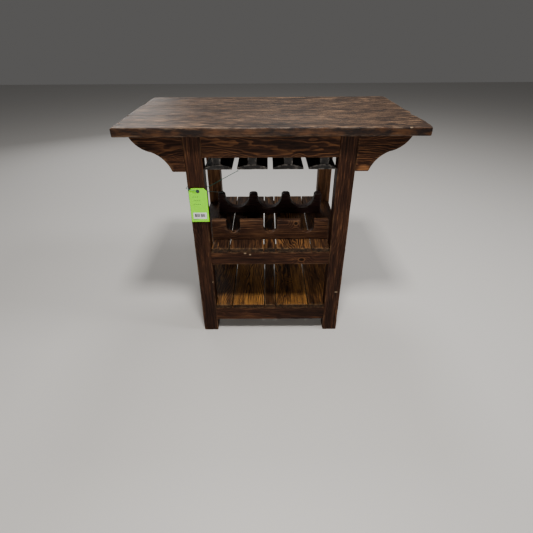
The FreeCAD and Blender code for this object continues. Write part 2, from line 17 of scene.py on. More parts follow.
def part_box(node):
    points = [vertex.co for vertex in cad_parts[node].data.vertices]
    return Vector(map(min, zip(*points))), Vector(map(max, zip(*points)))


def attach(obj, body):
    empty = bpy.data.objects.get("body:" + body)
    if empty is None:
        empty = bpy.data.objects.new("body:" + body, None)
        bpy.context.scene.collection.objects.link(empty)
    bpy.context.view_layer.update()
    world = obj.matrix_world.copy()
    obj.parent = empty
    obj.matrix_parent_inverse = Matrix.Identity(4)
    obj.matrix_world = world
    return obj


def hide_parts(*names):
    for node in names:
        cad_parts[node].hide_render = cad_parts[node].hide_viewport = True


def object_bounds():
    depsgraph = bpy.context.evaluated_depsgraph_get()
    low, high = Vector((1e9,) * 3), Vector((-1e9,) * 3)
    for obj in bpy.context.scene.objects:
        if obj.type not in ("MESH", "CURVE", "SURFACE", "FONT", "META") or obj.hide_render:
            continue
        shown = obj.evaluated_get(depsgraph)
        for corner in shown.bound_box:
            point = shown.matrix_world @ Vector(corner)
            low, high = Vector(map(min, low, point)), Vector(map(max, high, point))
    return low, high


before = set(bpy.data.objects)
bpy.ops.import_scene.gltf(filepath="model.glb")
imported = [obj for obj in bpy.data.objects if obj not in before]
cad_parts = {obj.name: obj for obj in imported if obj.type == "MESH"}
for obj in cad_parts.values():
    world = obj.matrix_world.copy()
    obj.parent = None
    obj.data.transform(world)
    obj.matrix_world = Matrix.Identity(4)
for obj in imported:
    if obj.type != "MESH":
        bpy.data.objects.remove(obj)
CAD_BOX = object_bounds()

log = logging.getLogger("bar_cart")
Colour = tuple[float, float, float]
Spot = tuple[float, float, float, float]
Number = Union[int, float]
ROOT = "cart"
BARE_WOOD = (0.42, 0.31, 0.20)


class Axis(Enum):
    """An axis of the frame, as its index in a vector."""

    X = 0
    Y = 1
    Z = 2


# ---------------------------------------------------------------- shader helpers
class Value:
    """A number that varies over a surface, written in expressions."""

    def __init__(self, tree: "ShaderTree", socket: bpy.types.NodeSocket) -> None:
        """Wrap one socket of a shader tree.

        Args:
            tree: the tree that new nodes go into.
            socket: the output socket that gives the number.
        """
        self.tree = tree
        self.socket = socket

    def _with(self, operation: str, first: "Operand", second: "Operand") -> "Value":
        """Return one Math node on two operands."""
        return self.tree.math(operation, first, second)

    def __add__(self, other: "Operand") -> "Value":
        """Return self + other."""
        return self._with("ADD", self, other)

    def __radd__(self, other: "Operand") -> "Value":
        """Return other + self."""
        return self._with("ADD", other, self)

    def __sub__(self, other: "Operand") -> "Value":
        """Return self - other."""
        return self._with("SUBTRACT", self, other)

    def __rsub__(self, other: "Operand") -> "Value":
        """Return other - self."""
        return self._with("SUBTRACT", other, self)

    def __mul__(self, other: "Operand") -> "Value":
        """Return self * other."""
        return self._with("MULTIPLY", self, other)

    def __rmul__(self, other: "Operand") -> "Value":
        """Return other * self."""
        return self._with("MULTIPLY", other, self)

    def __truediv__(self, other: "Operand") -> "Value":
        """Return self / other."""
        return self._with("DIVIDE", self, other)

    def __pow__(self, other: "Operand") -> "Value":
        """Return self to the power of other."""
        return self._with("POWER", self, other)

    def step(self, low: float, high: float) -> "Value":
        """Return 0 below low and 1 above high, smoothly between, or the reverse if high is lower.

        Args:
            low: the number that gives 0.
            high: the number that gives 1.

        Returns:
            The smooth step.
        """
        node = self.tree.node(
            "ShaderNodeMapRange", {"interpolation_type": "SMOOTHSTEP"},
            {"Value": self, "From Min": min(low, high), "From Max": max(low, high),
             "To Min": 0.0 if low < high else 1.0, "To Max": 1.0 if low < high else 0.0})
        return Value(self.tree, node.outputs["Result"])

    def band(self, low: float, high: float, soft: float) -> "Value":
        """Return 1 from low to high and 0 outside, rising and falling over a soft width."""
        return self.step(low, low + soft) * self.step(high, high - soft)


Operand = Union[Value, Number]


class ShaderTree:
    """A material's node tree, with short ways to add nodes."""

    def __init__(self, name: str) -> None:
        """Make a material with a Principled shader.

        Args:
            name: the material's name.
        """
        self.material = bpy.data.materials.new(name)
        self.material.use_nodes = True
        self.tree = self.material.node_tree
        self.shader = next(n for n in self.tree.nodes if n.type == "BSDF_PRINCIPLED")

    def node(self, kind: str, settings: Optional[dict] = None,
             inputs: Optional[dict] = None) -> bpy.types.Node:
        """Add one node.

        Args:
            kind: the node's type.
            settings: its properties; "stops" fills a ramp with (place, colour) pairs.
            inputs: what goes into its sockets, by name or number.

        Returns:
            The node.
        """
        node = self.tree.nodes.new(kind)
        for key, value in (settings or {}).items():
            if key == "stops":
                self._fill_ramp(node.color_ramp, value)
            else:
                setattr(node, key, value)
        for key, value in (inputs or {}).items():
            self.feed(node.inputs[key], value)
        return node

    def _fill_ramp(self, ramp: bpy.types.ColorRamp, stops: Sequence[tuple]) -> None:
        """Give a ramp its stops."""
        while len(ramp.elements) < len(stops):
            ramp.elements.new(0.5)
        for element, (place, colour) in zip(ramp.elements, stops):
            element.position = place
            element.color = (*colour, 1.0)

    def feed(self, socket: bpy.types.NodeSocket, value: object) -> None:
        """Link or set one socket."""
        if isinstance(value, Value):
            value = value.socket
        if isinstance(value, bpy.types.NodeSocket):
            self.tree.links.new(value, socket)
        elif isinstance(value, tuple) and len(value) == 3 and socket.type == "RGBA":
            socket.default_value = (*value, 1.0)
        else:
            socket.default_value = value

    def math(self, operation: str, *operands: Operand) -> Value:
        """Add one Math node and return its value."""
        node = self.node("ShaderNodeMath", {"operation": operation}, dict(enumerate(operands)))
        return Value(self, node.outputs[0])

    def attribute(self, name: str) -> bpy.types.Node:
        """Add a node that reads a mesh attribute."""
        return self.node("ShaderNodeAttribute", {"attribute_name": name})

    def fac(self, name: str) -> Value:
        """Return the number that a mesh attribute holds."""
        return Value(self, self.attribute(name).outputs["Fac"])

    def place(self) -> bpy.types.NodeSocket:
        """Return the place of the surface point, in the frame's axes."""
        return self.node("ShaderNodeTexCoord").outputs["Object"]

    def vector(self, x: Operand, y: Operand, z: Operand) -> bpy.types.NodeSocket:
        """Return a vector made of three values."""
        return self.node("ShaderNodeCombineXYZ", None, {0: x, 1: y, 2: z}).outputs[0]

    def parts(self, vector: bpy.types.NodeSocket) -> tuple[Value, ...]:
        """Return a vector's three values."""
        return tuple(Value(self, part) for part in
                     self.node("ShaderNodeSeparateXYZ", None, {0: vector}).outputs)

    def vector_math(self, operation: str, inputs: dict) -> bpy.types.Node:
        """Add one Vector Math node."""
        return self.node("ShaderNodeVectorMath", {"operation": operation}, inputs)

    def scaled(self, vector: bpy.types.NodeSocket, factor: float) -> bpy.types.NodeSocket:
        """Return a vector times a number."""
        return self.vector_math("SCALE", {0: vector, "Scale": factor}).outputs[0]

    def length(self, vector: bpy.types.NodeSocket) -> Value:
        """Return a vector's length."""
        return Value(self, self.vector_math("LENGTH", {0: vector}).outputs["Value"])

    def noise(self, vector: bpy.types.NodeSocket, detail: float = 2.0, rough: float = 0.5) -> Value:
        """Return noise from 0 to 1 at a vector that is already scaled."""
        node = self.node("ShaderNodeTexNoise", {"noise_dimensions": "3D"},
                         {"Vector": vector, "Scale": 1.0, "Detail": detail, "Roughness": rough})
        return Value(self, node.outputs["Fac"])

    def ramp(self, value: Value, stops: Sequence[tuple[float, Colour]]) -> bpy.types.NodeSocket:
        """Return the colour that a ramp gives a value."""
        return self.node("ShaderNodeValToRGB", {"stops": stops}, {"Fac": value}).outputs["Color"]

    def mix(self, factor: Operand, first: object, second: object, blend: str = "MIX") -> bpy.types.NodeSocket:
        """Return two colours mixed.

        Args:
            factor: how much of the second.
            first: a colour or a colour socket.
            second: a colour or a colour socket.
            blend: the way they mix.

        Returns:
            The mixed colour's socket.
        """
        node = self.node("ShaderNodeMix", {"data_type": "RGBA", "blend_type": blend},
                         {"Factor": factor})
        self.feed(node.inputs[6], first)
        self.feed(node.inputs[7], second)
        return node.outputs[2]

    def relief(self, height: Value, depth: float) -> None:
        """Bump the surface by a height of 0 to 1, at a depth in metres."""
        bump = self.node("ShaderNodeBump", None, {"Height": height, "Distance": depth, "Strength": 1.0})
        self.feed(self.shader.inputs["Normal"], bump.outputs["Normal"])

    def set(self, **inputs: object) -> None:
        """Set or link the shader's own sockets, words joined by an underscore."""
        for name, value in inputs.items():
            self.feed(self.shader.inputs[name.replace("_", " ")], value)


# ---------------------------------------------------------------- finishes
def shaded(colour: Colour, share: float) -> Colour:
    """Return a colour times a number."""
    return tuple(part * share for part in colour)


@dataclass(frozen=True)
class Grain:
    """A surface point in the board's own axes: along the fibres, across them and into the board."""

    tree: ShaderTree
    along: Value
    across: Value
    into: Value

    def stretched(self, length: float, width: float, detail: float = 2.0, rough: float = 0.5) -> Value:
        """Return noise whose blots are length long and width wide, in metres."""
        return self.tree.noise(
            self.tree.vector(self.along / length, self.across / width, self.into / width), detail, rough)

    def knot_reach(self, per_metre: float = 5.5) -> Value:
        """Return the distance to the nearest of the board's scattered knots."""
        cells = self.tree.node("ShaderNodeTexVoronoi", {"feature": "F1"}, {
            "Vector": self.tree.vector(*(part * per_metre for part in (self.along, self.across, self.into))),
            "Scale": 1.0})
        return Value(self.tree, cells.outputs["Distance"]) / per_metre

    def ring(self, width: float, swirl: Value) -> Value:
        """Return how far through its growth ring the point is, from 0 to 1.

        Args:
            width: the width of a ring in metres.
            swirl: 1 at a knot, which the rings bend round, and 0 away from it.

        Returns:
            The place in the ring.
        """
        wander = self.stretched(0.5, 0.16, 1.0)
        ripple = self.stretched(0.11, 0.03, 2.0)
        radius = self.tree.length(self.tree.vector(
            0.0, self.across + (wander - 0.5) * 0.14 + (ripple - 0.5) * 0.012,
            self.into + (ripple - 0.5) * 0.012))
        return self.tree.math("FRACT", (radius + self.along * 0.020) / width + swirl * 3.2)


@dataclass(frozen=True)
class WoodFinish:
    """Stained, brushed and waxed wood that reads its grain from the mesh.

    A share says how much one kind of mark lightens the wood, and early how far into a growth
    ring its bright band starts. Pale spots, knots and stains are at places in the frame, each with
    how far it is stretched along X.
    """

    name: str
    slot: str
    dark: Colour
    body: Colour
    bright: Colour
    worn: Colour
    rim_dark: Colour
    rim_bright: Colour
    ring_width: float = 0.0052
    early: float = 0.42
    ring_share: float = 0.42
    streak_share: float = 0.32
    fibre_share: float = 0.22
    patch_share: float = 0.40
    fleck_share: float = 0.10
    worn_and_sheen_share: float = 0.5
    roughness: float = 0.5
    shine: float = 0.32
    depth: float = 0.0006
    dents: float = 0.5
    pale_spots: tuple[Spot, ...] = ()
    knots: tuple[Spot, ...] = ()
    stains: tuple[Spot, ...] = ()

    def material(self) -> bpy.types.Material:
        """Return this finish as a material.

        Returns:
            A material whose grain follows the "grain" attribute, its wear "wear" and its sawn
            edges "rim".
        """
        tree = ShaderTree(self.name)
        grain = Grain(tree, *tree.parts(tree.attribute("grain").outputs["Vector"]))
        wear, figure = tree.fac("wear"), tree.fac("figure")
        knot_reach = tree.math("MINIMUM", grain.knot_reach(), self._reach(tree, self.knots))
        ring = grain.ring(self.ring_width, knot_reach.step(0.038, 0.0))
        late = ring.step(self.early, self.early + 0.36) * ring.step(1.0, 0.90)
        streak = grain.stretched(0.16, 0.0050, 4.0, 0.62)
        fibre = grain.stretched(0.045, 0.0011, 3.0, 0.6)
        patch = grain.stretched(0.20, 0.06, 3.0, 0.55)
        fleck = grain.stretched(0.065, 0.0055, 2.0, 0.5).step(0.58, 0.68)
        tone = (late * figure * self.ring_share + streak.step(0.34, 0.66) * self.streak_share
                + fibre.step(0.28, 0.72) * self.fibre_share + (patch - 0.5) * self.patch_share
                + fleck * self.fleck_share)
        colour = tree.ramp(tone, [(0.08, self.dark), (0.45, self.body), (0.92, self.bright)])
        blot = grain.stretched(0.055, 0.020, 4.0, 0.62)
        sawn = tree.ramp(blot * 0.75 + fibre * 0.25, [(0.42, self.rim_dark), (0.62, self.rim_bright)])
        colour = tree.mix(tree.fac("rim").step(0.45, 0.80), colour, sawn)
        heart = knot_reach.step(0.0095, 0.0055)
        colour = tree.mix(knot_reach.step(0.0125, 0.0085) * 0.6, colour, self.bright)
        colour = tree.mix(heart * 0.95, colour, shaded(self.dark, 0.25))
        # Worn colour along the edges: real wear, and on the top and the rails also a painted sheen highlight
        # on the arrises.
        scuff = grain.stretched(0.05, 0.012, 3.0, 0.6).step(0.42, 0.66)
        rub_and_sheen = tree.math("MAXIMUM", (wear * 1.15 - 0.15) * scuff * self.worn_and_sheen_share, 0.0)
        colour = tree.mix(rub_and_sheen, colour, self.worn)
        grime = grain.stretched(0.35, 0.09, 2.0).step(0.60, 0.78)
        colour = tree.mix(grime * 0.45, colour, shaded(self.dark, 0.5))
        if self.stains:
            pale = (self._reach(tree, self.stains) + (patch - 0.5) * 0.02).step(0.026, 0.012)
            colour = tree.mix(pale * streak.step(0.36, 0.60) * 0.8, colour, shaded(self.bright, 1.5))
        # Bare wood colour at the listed pale spots.
        if self.pale_spots:
            pale_spot = (self._reach(tree, self.pale_spots) + (fibre - 0.5) * 0.004).step(0.0045, 0.0015)
            colour = tree.mix(pale_spot * 0.7, colour, BARE_WOOD)
        tree.set(Base_Color=colour, Roughness=self.roughness + (fibre - 0.5) * 0.22 - rub_and_sheen * 0.10,
                 Specular_IOR_Level=self.shine)
        crack = grain.stretched(0.16, 0.0035, 2.0, 0.4).step(0.70, 0.76)
        dents = grain.stretched(0.045, 0.016, 3.0, 0.55)
        tree.relief(late * figure * 0.40 + fibre * 0.25 + streak * 0.25 + dents * self.dents
                    - heart * 0.5 - crack * 0.8, self.depth)
        return tree.material

    def _reach(self, tree: ShaderTree, spots: Sequence[Spot]) -> Operand:
        """Return the distance to the nearest of some spots."""
        place = tree.place()
        nearest: Operand = 1.0
        for x, y, z, stretch in spots:
            offset = tree.vector_math("SUBTRACT", {0: place, 1: (x, y, z)}).outputs[0]
            flat = tree.vector_math("MULTIPLY", {0: offset, 1: (1.0 / stretch, 1.0, 1.0)}).outputs[0]
            nearest = tree.math("MINIMUM", nearest, tree.length(flat))
        return nearest


class Finish(Enum):
    """The cart's wood finishes: dark, body, bright, worn, then dark and bright at sawn ends. The rear legs'
    lighter copy of the frame wood paints light, the bottle body board's darker copy of the rack wood paints
    shade, and the worn colour partly paints a sheen highlight on the top's and the rails' arrises.
    """

    # The top's worn colour along its arrises is partly wear and partly a painted sheen highlight.
    TOP = WoodFinish("brushed_top_wood", "top_wood", (0.008, 0.0050, 0.0042), (0.031, 0.0170, 0.0108),
                     (0.29, 0.170, 0.095), (0.36, 0.25, 0.17), (0.010, 0.005, 0.004), (0.085, 0.036, 0.014),
                     ring_width=0.0075, ring_share=0.20, streak_share=0.34, fibre_share=0.30,
                     patch_share=0.45, fleck_share=0.46, worn_and_sheen_share=0.50, roughness=0.50, shine=0.22,
                     depth=0.0009, dents=0.4, pale_spots=((0.463, -0.3015, 0.9125, 1.5),))
    FRAME = WoodFinish("stained_frame_wood", "frame_wood", (0.008, 0.0035, 0.0027), (0.046, 0.0190, 0.0103),
                       (0.180, 0.078, 0.031), (0.26, 0.14, 0.070), (0.008, 0.005, 0.004),
                       (0.060, 0.028, 0.013), ring_width=0.0044, early=0.46, ring_share=0.34,
                       streak_share=0.30, patch_share=0.55, fleck_share=0.20, shine=0.08, roughness=0.54,
                       # The first pale spot, low on the left front leg's inner edge, is a small light spot;
                       # the others are nicks.
                       pale_spots=((-0.2495, -0.2735, 0.2712, 0.7), (0.2825, -0.2735, 0.2150, 2.0),
                              (-0.1072, -0.2700, 0.4110, 1.6), (-0.0870, -0.2700, 0.4050, 1.3)),
                       knots=((0.1249, -0.2695, 0.3800, 1.5),), stains=((0.330, -0.262, 0.757, 1.2),))
    # Painted light: a lighter, more amber copy of the frame wood for the rear legs, for the light that falls
    # on their front faces.
    REAR = WoodFinish("amber_leg_wood", "frame_wood", (0.030, 0.0140, 0.007), (0.140, 0.064, 0.029),
                      (0.42, 0.215, 0.085), (0.34, 0.20, 0.11), (0.010, 0.006, 0.004),
                      (0.060, 0.028, 0.013), ring_width=0.0044, ring_share=0.34, streak_share=0.30,
                      patch_share=0.70, fleck_share=0.20, shine=0.08, roughness=0.54)
    SHELF = WoodFinish("amber_shelf_wood", "shelf_wood", (0.010, 0.0046, 0.003), (0.062, 0.0270, 0.0100),
                       (0.35, 0.162, 0.038), (0.24, 0.14, 0.06), (0.010, 0.006, 0.004),
                       (0.050, 0.025, 0.012), ring_width=0.0048, early=0.14, ring_share=0.34,
                       patch_share=1.0, shine=0.10, roughness=0.52)
    MID_SHELF = WoodFinish("brown_shelf_wood", "shelf_wood", (0.009, 0.0046, 0.0035),
                           (0.044, 0.0205, 0.0110), (0.23, 0.105, 0.034), (0.24, 0.14, 0.06),
                           (0.010, 0.006, 0.004), (0.050, 0.025, 0.012), ring_width=0.0048,
                           early=0.24, ring_share=0.34, patch_share=1.0, shine=0.14, roughness=0.50)
    RACK = WoodFinish("red_brown_rack_wood", "rack_wood", (0.012, 0.0052, 0.0038), (0.050, 0.0215, 0.0115),
                      (0.190, 0.090, 0.038), (0.20, 0.120, 0.070), (0.008, 0.005, 0.004),
                      (0.035, 0.017, 0.010), early=0.25, ring_share=0.26, patch_share=0.95,
                      worn_and_sheen_share=0.3, shine=0.10)
    # Painted shade: a darker copy of the rack wood for the bottle body board, for the shade that falls on it
    # under the top.
    SHADED_CRADLE = WoodFinish("shaded_dark_red_rack_wood", "rack_wood", (0.008, 0.0036, 0.0040), (0.032, 0.0135, 0.0125),
                        (0.042, 0.016, 0.011), (0.12, 0.092, 0.078), (0.012, 0.009, 0.008),
                        (0.070, 0.053, 0.043), ring_share=0.26, patch_share=0.60, worn_and_sheen_share=0.7, shine=0.10)
    # The rails' pale worn colour along the flange bevels is partly wear and partly a painted highlight on the
    # arrises.
    RAIL = WoodFinish("smoky_rail_wood", "rack_wood", (0.007, 0.0062, 0.0064), (0.018, 0.0160, 0.0160),
                      (0.050, 0.044, 0.041), (0.30, 0.27, 0.24), (0.010, 0.009, 0.009),
                      (0.030, 0.028, 0.028), ring_share=0.2, worn_and_sheen_share=0.9, shine=0.20)


class Palette:
    """Materials made once and handed out by finish."""

    def __init__(self) -> None:
        """Start with no material made."""
        self._made: dict[str, bpy.types.Material] = {}

    def wood(self, finish: Finish) -> bpy.types.Material:
        """Return a wood finish's material."""
        if finish.name not in self._made:
            self._made[finish.name] = finish.value.material()
        return self._made[finish.name]

    def plain(self, name: str, colour: Colour, roughness: float, metallic: float = 0.0,
              blot: float = 0.25, grain: float = 0.004) -> bpy.types.Material:
        """Return a plain material with a soft blotch of tone and a fine relief.

        Args:
            name: the material's name.
            colour: its colour.
            roughness: its roughness.
            metallic: 1 for metal.
            blot: how far the tone varies.
            grain: the size of the blots in metres.

        Returns:
            The material.
        """
        if name not in self._made:
            tree = ShaderTree(name)
            tone = tree.noise(tree.scaled(tree.place(), 1.0 / grain), 4.0, 0.6)
            shade = tree.mix(tone, shaded(colour, 1 - blot), shaded(colour, 1 + blot))
            tree.set(Base_Color=shade, Roughness=roughness + (tone - 0.5) * 0.2, Metallic=metallic)
            tree.relief(tone, grain * 0.05)
            self._made[name] = tree.material
        return self._made[name]


PALETTE = Palette()


# ---------------------------------------------------------------- boards
Outline = Sequence[tuple[float, float]]
SWELLS_PER_METRE = 9.0
CHIPS_PER_METRE = 34.0
RIM_CUTS = (0.006, 0.015)
SHARP_TURN = math.radians(35)
SMOOTH_TURN = math.radians(50)


@dataclass
class Board:
    """One board: an outline sawn out and given a thickness, its edges worn and its faces uneven.

    The outline lies in the plane across the thickness axis, in the frame's own coordinates,
    taken in X, Y, Z order. The faces dip by up to uneven and the edges by up to about chips, and
    wear runs in from the edges as far as wear_reach. Seams are places along the outline's second
    axis where the next board touches, so the edge there isn't worn.
    """

    name: str
    node: str
    finish: Finish
    grain: Axis
    thickness: Axis
    outline: Outline
    low: float
    high: float
    edge: float = 0.0025
    spacing: float = 0.024
    uneven: float = 0.0005
    chips: float = 0.0016
    wear_reach: float = 0.008
    figure: float = 1.0
    seams: tuple[float, ...] = ()
    sawn_sides: bool = False
    seed: int = 0
    body: str = ROOT

    def _at_seam(self, value: float) -> bool:
        """Return whether a place along the outline's second axis is on a tight seam."""
        return any(abs(value - seam) < 1e-4 for seam in self.seams)

    def _place(self, first: float, second: float, deep: float) -> Vector:
        """Return the point of the frame at an outline point and a depth."""
        values = [first, second]
        values.insert(self.thickness.value, deep)
        return Vector(values)

    def _solid(self) -> bmesh.types.BMesh:
        """Return the outline drawn out to its thickness, with its sharp edges rounded."""
        bm = bmesh.new()
        floor = [bm.verts.new(self._place(a, b, self.low)) for a, b in self.outline]
        lid = [bm.verts.new(self._place(a, b, self.high)) for a, b in self.outline]
        bm.faces.new(floor[::-1])
        bm.faces.new(lid)
        count = len(floor)
        for i in range(count):
            j = (i + 1) % count
            bm.faces.new((floor[i], floor[j], lid[j], lid[i]))
        bmesh.ops.recalc_face_normals(bm, faces=bm.faces)
        second = [i for i in range(3) if i != self.thickness.value][1]
        sharp = [e for e in bm.edges if e.calc_face_angle(0.0) > SHARP_TURN
                 and not all(self._at_seam(v.co[second]) for v in e.verts)]
        bmesh.ops.bevel(bm, geom=sharp, offset=self.edge, segments=2, profile=0.5, affect="EDGES",
                        clamp_overlap=True)
        return bm

    def _cut(self, bm: bmesh.types.BMesh) -> None:
        """Cut the faces by planes, closer beside the edges, so that wear and relief have points."""
        low, high = self._box(bm)
        for axis in Axis:
            start, stop = low[axis.value], high[axis.value]
            nearest, inner = RIM_CUTS
            places = [start + gap for gap in RIM_CUTS] + [stop - gap for gap in RIM_CUTS]
            room = stop - start - 2 * inner
            steps = max(1, round(room / self._step(axis)))
            places += [start + inner + room * i / steps for i in range(1, steps)]
            for place in places:
                if not start + nearest / 2 < place < stop - nearest / 2:
                    continue
                normal, point = Vector(), Vector()
                normal[axis.value] = 1.0
                point[axis.value] = place
                bmesh.ops.bisect_plane(bm, geom=bm.verts[:] + bm.edges[:] + bm.faces[:], dist=1e-6,
                                       plane_co=point, plane_no=normal)

    def _step(self, axis: Axis) -> float:
        """Return the spacing of the cuts across one axis."""
        return self.spacing * (1.3 if axis == self.grain else 1.0)

    def _box(self, bm: bmesh.types.BMesh) -> tuple[Vector, Vector]:
        """Return the low and high corners of a mesh."""
        points = [v.co for v in bm.verts]
        return (Vector(min(p[i] for p in points) for i in range(3)),
                Vector(max(p[i] for p in points) for i in range(3)))

    def _edge_reach(self, point: Vector) -> float:
        """Return how far a point of the surface lies from the nearest long edge."""
        flat = [point[i] for i in range(3) if i != self.thickness.value]
        around = min(_segment_reach(flat, self.outline[i - 1], self.outline[i])
                     for i in range(len(self.outline))
                     if not (self._at_seam(self.outline[i - 1][1]) and self._at_seam(self.outline[i][1])))
        deep = point[self.thickness.value]
        return max(around, min(deep - self.low, self.high - deep))

    def _wear_in(self, bm: bmesh.types.BMesh) -> dict[str, list[float]]:
        """Make the faces uneven, chip the edges and lay the grain.

        Args:
            bm: the board's mesh, which is changed.

        Returns:
            What the wood's material reads, by attribute, one point after another.
        """
        rng = random.Random(self.seed * 7919 + sum(ord(c) for c in self.name))
        low, high = self._box(bm)
        size, middle = high - low, (low + high) / 2
        thin, wide = sorted((a for a in Axis if a != self.grain), key=lambda a: size[a.value])
        shift = (rng.uniform(0, 40.0), rng.uniform(-0.4, 0.4) * size[wide.value],
                 rng.uniform(0.018, 0.060) * rng.choice((-1, 1)))
        salt = Vector((rng.uniform(-50, 50), rng.uniform(-50, 50), rng.uniform(-50, 50)))
        marks: dict[str, list[float]] = {"grain": [], "wear": [], "rim": [], "figure": []}
        moved = []
        for vert in bm.verts:
            point = vert.co.copy()
            marks["grain"] += [point[self.grain.value] + shift[0],
                               point[wide.value] - middle[wide.value] + shift[1],
                               point[thin.value] - middle[thin.value] + shift[2]]
            worn = max(0.0, 1.0 - self._edge_reach(point) / self.wear_reach)
            side = abs(vert.normal[wide.value]) if self.sawn_sides else 0.0
            marks["wear"].append(worn)
            marks["rim"].append(max(abs(vert.normal[self.grain.value]), side))
            marks["figure"].append(self.figure)
            swell = noise.noise(point * SWELLS_PER_METRE + salt) * 0.5 + 0.5
            bite = max(0.0, noise.noise(point * CHIPS_PER_METRE - salt) - 0.18) * 1.6
            moved.append(point - vert.normal * (swell * self.uneven + worn * bite * self.chips))
        for vert, point in zip(bm.verts, moved):
            vert.co = point
        return marks

    def build(self) -> bpy.types.Object:
        """Make the board, dress it and put it in its node's place.

        Returns:
            The board's object.
        """
        bm = self._solid()
        self._cut(bm)
        bm.normal_update()
        marks = self._wear_in(bm)
        for face in bm.faces:
            face.smooth = True
        mesh = bpy.data.meshes.new(self.name)
        bm.to_mesh(mesh)
        bm.free()
        for name, values in marks.items():
            kind, part = ("FLOAT_VECTOR", "vector") if name == "grain" else ("FLOAT", "value")
            mesh.attributes.new(name, kind, "POINT").data.foreach_set(part, values)
        mesh.set_sharp_from_angle(angle=SMOOTH_TURN)
        mesh.materials.append(PALETTE.wood(self.finish))
        piece = linked(self.name, mesh)
        piece.modifiers.new("even_shading", "WEIGHTED_NORMAL").weight = 60
        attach(piece, self.body)
        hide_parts(self.node)
        log.info("%s: %d faces", self.name, len(mesh.polygons))
        return piece


def linked(name: str, data: bpy.types.ID) -> bpy.types.Object:
    """Return a new object in the scene, made of some data."""
    item = bpy.data.objects.new(name, data)
    bpy.context.scene.collection.objects.link(item)
    return item


def _segment_reach(point: Sequence[float], start: Sequence[float], end: Sequence[float]) -> float:
    """Return the distance from a flat point to a flat segment."""
    run = (end[0] - start[0], end[1] - start[1])
    size = run[0] ** 2 + run[1] ** 2
    part = 0.0 if size == 0 else ((point[0] - start[0]) * run[0] + (point[1] - start[1]) * run[1]) / size
    part = min(1.0, max(0.0, part))
    return math.hypot(point[0] - start[0] - part * run[0], point[1] - start[1] - part * run[1])


def arc(centre: tuple[float, float], radius: float, first: float, last: float,
        steps: int) -> list[tuple[float, float]]:
    """Return points along an arc.

    Args:
        centre: the arc's centre.
        radius: its radius.
        first: its first angle in degrees.
        last: its last angle in degrees.
        steps: how many pieces it is drawn in.

    Returns:
        The points, both ends among them.
    """
    angles = (math.radians(first + (last - first) * i / steps) for i in range(steps + 1))
    return [(centre[0] + radius * math.cos(a), centre[1] + radius * math.sin(a)) for a in angles]


def arc_through(start: tuple[float, float], end: tuple[float, float], radius: float, clockwise: bool,
                steps: int = 10) -> list[tuple[float, float]]:
    """Return points along the short arc between two points.

    Args:
        start: the first point.
        end: the last point.
        radius: the arc's radius.
        clockwise: which way it turns.
        steps: how many pieces it is drawn in.

    Returns:
        The points, both ends among them.
    """
    first, last = Vector(start), Vector(end)
    chord = last - first
    rise = math.sqrt(radius ** 2 - (chord.length / 2) ** 2)
    side = Vector((-chord.y, chord.x)).normalized() * (-rise if clockwise else rise)
    centre = (first + last) / 2 + side
    begin = math.degrees(math.atan2(first.y - centre.y, first.x - centre.x))
    finish = math.degrees(math.atan2(last.y - centre.y, last.x - centre.x))
    turn = (finish - begin + 180) % 360 - 180
    return arc((centre.x, centre.y), radius, begin, begin + turn, steps)


def rectangle(low: Sequence[float], high: Sequence[float], thickness: Axis) -> Outline:
    """Return a box's outline across its thickness axis."""
    first, second = (i for i in range(3) if i != thickness.value)
    return [(low[first], low[second]), (high[first], low[second]), (high[first], high[second]),
            (low[first], high[second])]


def plain_board(node: str, finish: Finish, grain: Axis, thickness: Axis, sink: float = 0.0,
                **options: object) -> Board:
    """Return a straight board in a node's box.

    Args:
        node: the frame's node that it stands for.
        finish: its wood.
        grain: the axis that its grain runs along.
        thickness: its thickness axis.
        sink: how much is taken off each end along the grain, which a joint hides.
        options: the board's other fields.

    Returns:
        The board, not yet built.
    """
    low, high = (list(corner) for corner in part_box(node))
    low[grain.value] += sink
    high[grain.value] -= sink
    return Board(name=node + "_board", node=node, finish=finish, grain=grain, thickness=thickness,
                 outline=rectangle(low, high, thickness), low=low[thickness.value],
                 high=high[thickness.value], **options)


# ---------------------------------------------------------------- sub-assemblies of wood
ENDS = ("front", "rear")
SIDES = ("left", "right")


@dataclass
class Top:
    """Three planks side by side, their right ends worn uneven."""

    insets: dict[str, Outline] = field(default_factory=lambda: {
        "front": [(0.0034, 0.0), (0.0002, 0.4), (0.005, 0.85), (0.013, 1.0)],
        "middle": [(0.013, 0.0), (0.0, 0.28), (0.0095, 0.48), (0.008, 1.0)],
        "rear": [(0.008, 0.0), (0.011, 0.86), (0.0165, 1.0)],
    })
    edge: float = 0.004
    seam: float = 0.1005

    def build(self) -> None:
        """Build the planks."""
        far_right = CAD_BOX[1].x
        for number, (name, insets) in enumerate(self.insets.items()):
            low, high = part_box("top_plank_" + name)
            depth = high.y - low.y
            outline = [(low.x, low.y)]
            outline += [(far_right - inset, low.y + part * depth) for inset, part in insets]
            outline.append((low.x, high.y))
            Board("top_plank_" + name + "_board", "top_plank_" + name, Finish.TOP, Axis.X, Axis.Z,
                  outline, low.z, high.z, edge=self.edge, uneven=0.0004, chips=0.0030,
                  seams=(-self.seam, self.seam), sawn_sides=True, seed=11 + number).build()


